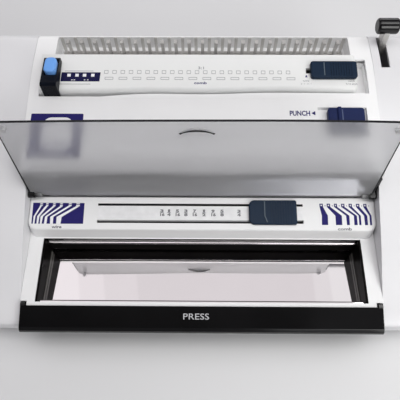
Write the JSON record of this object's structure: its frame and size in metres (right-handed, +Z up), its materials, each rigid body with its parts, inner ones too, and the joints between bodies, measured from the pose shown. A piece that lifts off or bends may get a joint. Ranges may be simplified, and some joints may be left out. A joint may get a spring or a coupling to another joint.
{
  "type": "wire and comb binding machine",
  "caption": "Desktop electric punch and bind machine for wire and plastic comb spines, with a smoked hinged lid, press bar over a closing well, and size slider.",
  "frame": {"origin": "bottom centre of the machine's bounding box, on the table under the feet", "axes": "+X to the machine's right, +Y to the back, +Z up; the press bar faces -Y"},
  "size_m": [0.45, 0.306, 0.1969],
  "materials": {
    "white_shell": "satin moulded",
    "black_plastic": "gloss moulded",
    "teal_plastic": "ribbed moulded",
    "navy_plastic": "moulded",
    "blue_plastic": "moulded",
    "smoked": "translucent smoked",
    "polished_steel": "polished sheet",
    "tool_steel": "ground",
    "zinc_steel": "zinc plated",
    "painted_steel": "powder coat",
    "rubber_black": "moulded",
    "board_green": "solder resist",
    "grey_plastic": "moulded",
    "brass_bush": "turned"
  },
  "bodies": {
    "chassis": {"base_pan": "painted_steel", "rubber_feet": "rubber_black", "base_screws": "zinc_steel", "left_side_cover": "white_shell", "right_side_cover": "white_shell", "front_bezel": "white_shell", "well_liner": "black_plastic", "anvil_rails": "black_plastic", "rack_guides": "black_plastic", "hinge_blocks": "black_plastic", "upper_housing": "white_shell", "deck_plate": "white_shell", "throat_ramp": "polished_steel", "die_block": "tool_steel", "punch_guide": "tool_steel", "paper_backstop": "tool_steel", "left_frame_plate": "zinc_steel", "right_frame_plate": "zinc_steel", "shaft_bushes": "brass_bush", "motor": "zinc_steel", "punch_switch": "black_plastic", "comb_tines": "zinc_steel", "circuit_board": "board_green", "board_parts": "grey_plastic", "mains_inlet": "black_plastic", "switch_body": "black_plastic"},
    "lid": {"smoked_lid": "smoked", "lid_bumpers": "rubber_black", "lid_hinge_pins": "zinc_steel"},
    "press": {"press_bar": "black_plastic", "press_pivot_pins": "zinc_steel", "press_sectors": "tool_steel"},
    "jaw": {"closing_jaw": "polished_steel", "jaw_racks": "tool_steel"},
    "size_selector": {"size_slider": "teal_plastic", "slider_carrier": "black_plastic"},
    "anvil": {"anvil_bar": "black_plastic", "anvil_plate": "polished_steel"},
    "punch_switch_slide": {"punch_slide": "navy_plastic"},
    "mode_selector": {"mode_slider": "teal_plastic"},
    "guide": {"edge_guide": "black_plastic"},
    "guide_release": {"guide_button": "blue_plastic"},
    "punch_drive": {"punch_shaft": "tool_steel", "punch_pinions": "tool_steel", "drive_gear": "tool_steel"},
    "motor_spindle": {"motor_pinion": "tool_steel"},
    "comb_punch_carriage": {"comb_punch_bar": "tool_steel", "comb_punches": "tool_steel", "punch_racks": "tool_steel"},
    "wire_punch_carriage": {"wire_punch_bar": "tool_steel", "wire_punches": "tool_steel"},
    "comb_lever_shaft": {"comb_shaft": "tool_steel", "comb_pinions": "tool_steel", "comb_lever": "zinc_steel", "lever_knob": "black_plastic"},
    "hook_carriage": {"hook_slide": "zinc_steel", "hook_racks": "tool_steel"},
    "chip_drawer": {"chip_tray": "grey_plastic"},
    "rocker": {"power_rocker": "black_plastic"}
  },
  "joints": [
    {"name": "lid_hinge", "type": "hinge", "parent": "chassis", "child": "lid", "pos_m": [0, -0.022, 0.088], "axis": [1, 0, 0], "range_deg": [0, 110]},
    {"name": "press_hinge", "type": "hinge", "parent": "chassis", "child": "press", "pos_m": [0, -0.1315, 0.05], "axis": [1, 0, 0], "range_deg": [0, 15.2], "stiffness_Nm_per_rad": 2, "springref_deg": -6.88},
    {"name": "jaw_slide", "type": "slide", "parent": "chassis", "child": "jaw", "axis": [0, 1, 0], "range_m": [0, 0.0075]},
    {"name": "size_slide", "type": "slide", "parent": "chassis", "child": "size_selector", "axis": [1, 0, 0], "range_m": [-0.15, 0.005]},
    {"name": "anvil_slide", "type": "slide", "parent": "chassis", "child": "anvil", "axis": [0, 1, 0], "range_m": [-0.0375, 0.00125]},
    {"name": "punch_slide_travel", "type": "slide", "parent": "chassis", "child": "punch_switch_slide", "axis": [-1, 0, 0], "range_m": [0, 0.009], "stiffness_N_per_m": 200, "springref_m": -0.003},
    {"name": "mode_slide", "type": "slide", "parent": "chassis", "child": "mode_selector", "axis": [1, 0, 0], "range_m": [-0.029, 0]},
    {"name": "guide_slide", "type": "slide", "parent": "chassis", "child": "guide", "axis": [1, 0, 0], "range_m": [0, 0.04]},
    {"name": "guide_button_press", "type": "slide", "parent": "guide", "child": "guide_release", "axis": [0, 0, -1], "range_m": [0, 0.0015], "stiffness_N_per_m": 300, "springref_m": -0.002},
    {"name": "punch_shaft_spin", "type": "hinge", "parent": "chassis", "child": "punch_drive", "pos_m": [0, 0.038, 0.098], "axis": [1, 0, 0], "range_deg": [0, 48.5]},
    {"name": "motor_spin", "type": "hinge", "parent": "chassis", "child": "motor_spindle", "pos_m": [0, 0.068, 0.098], "axis": [1, 0, 0], "range_deg": [-194, 0]},
    {"name": "comb_punch_slide", "type": "slide", "parent": "chassis", "child": "comb_punch_carriage", "axis": [0, 0, 1], "range_m": [-0.0076, 0]},
    {"name": "wire_punch_slide", "type": "slide", "parent": "chassis", "child": "wire_punch_carriage", "axis": [0, 0, 1], "range_m": [-0.0076, 0]},
    {"name": "comb_lever_swing", "type": "hinge", "parent": "chassis", "child": "comb_lever_shaft", "pos_m": [0, 0.128, 0.097], "axis": [1, 0, 0], "range_deg": [0, 30]},
    {"name": "hook_slide_travel", "type": "slide", "parent": "chassis", "child": "hook_carriage", "axis": [0, -1, 0], "range_m": [0, 0.00785]},
    {"name": "chip_drawer_slide", "type": "slide", "parent": "chassis", "child": "chip_drawer", "axis": [-1, 0, 0], "range_m": [0, 0.15]},
    {"name": "rocker_tilt", "type": "hinge", "parent": "chassis", "child": "rocker", "pos_m": [0, 0.148, 0.059], "axis": [1, 0, 0], "range_deg": [-6, 6]}
  ],
  "couplings": [
    {"joint": "press_hinge", "follows": "jaw_slide", "rad_per_m": 35.088},
    {"joint": "size_slide", "follows": "anvil_slide", "ratio": 4},
    {"joint": "punch_shaft_spin", "follows": "comb_punch_slide", "rad_per_m": -111.11},
    {"joint": "motor_spin", "follows": "comb_punch_slide", "rad_per_m": 444.44},
    {"joint": "comb_lever_swing", "follows": "hook_slide_travel", "rad_per_m": 66.667}
  ]
}
